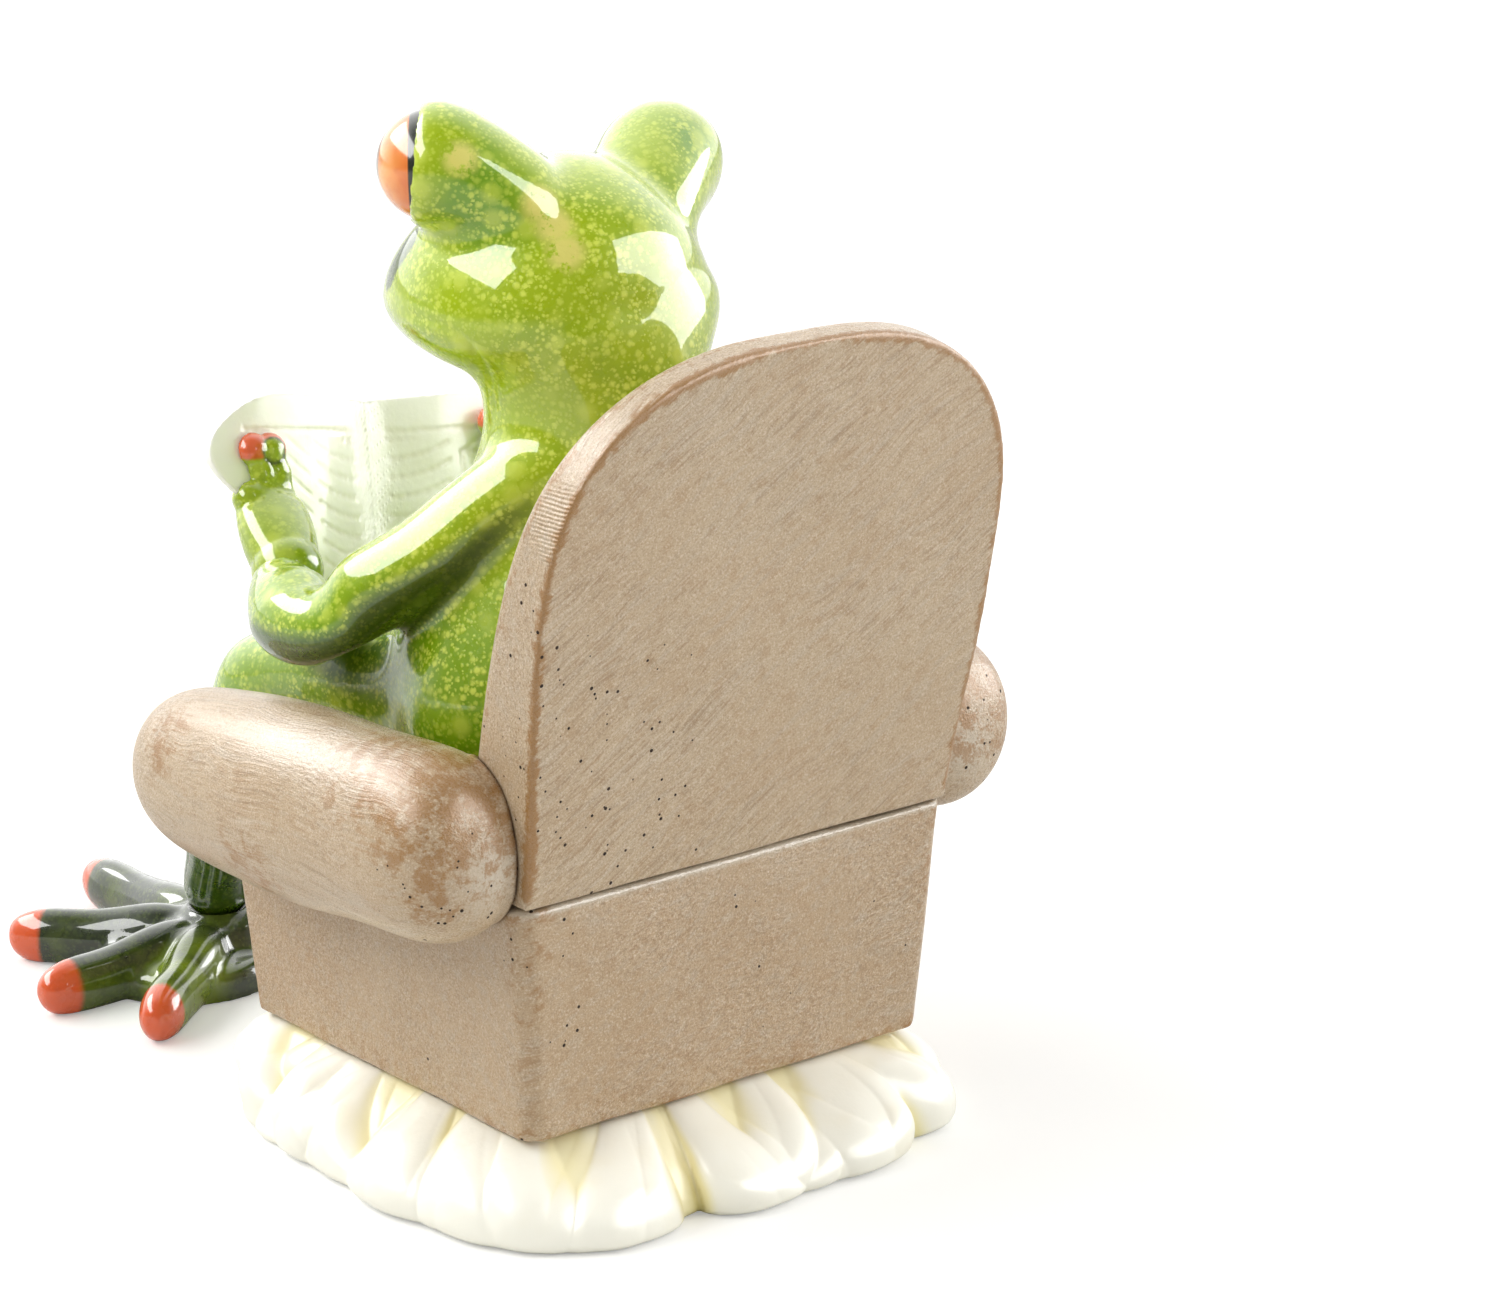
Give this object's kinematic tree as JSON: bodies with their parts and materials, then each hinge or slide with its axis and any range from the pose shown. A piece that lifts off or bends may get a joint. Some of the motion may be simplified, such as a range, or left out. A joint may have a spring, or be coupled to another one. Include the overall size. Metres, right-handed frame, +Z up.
{
  "type": "frog figurine",
  "caption": "Glazed resin figurine of a tree frog that sits in a rolled-arm armchair with a ruffled skirt and reads an open newspaper; it rests on a flat underside.",
  "frame": {"origin": "on the floor, under the middle of the chair's seat block", "axes": "+Z up; the frog looks along -Y and the backrest is at +Y; the frog's left side is +X"},
  "size_m": [0.1048, 0.1612, 0.1399],
  "materials": {
    "skirt_glaze": "gloss",
    "chair_paint": "satin",
    "frog_glaze": "gloss",
    "hand_glaze": "gloss",
    "leg_glaze": "gloss",
    "foot_glaze": "gloss",
    "eye_glaze": "gloss",
    "paper_glaze": "satin"
  },
  "bodies": {
    "root": {"skirt": "skirt_glaze", "chair_base": "chair_paint", "backrest": "chair_paint", "left_armrest": "chair_paint", "right_armrest": "chair_paint", "seat_cushion": "chair_paint", "frog_body": "frog_glaze", "left_arm": "frog_glaze", "right_arm": "frog_glaze", "left_hand": "hand_glaze", "right_hand": "hand_glaze", "left_leg": "leg_glaze", "right_leg": "leg_glaze", "left_foot": "foot_glaze", "right_foot": "foot_glaze", "left_eye": "eye_glaze", "right_eye": "eye_glaze", "newspaper": "paper_glaze"}
  },
  "joints": []
}
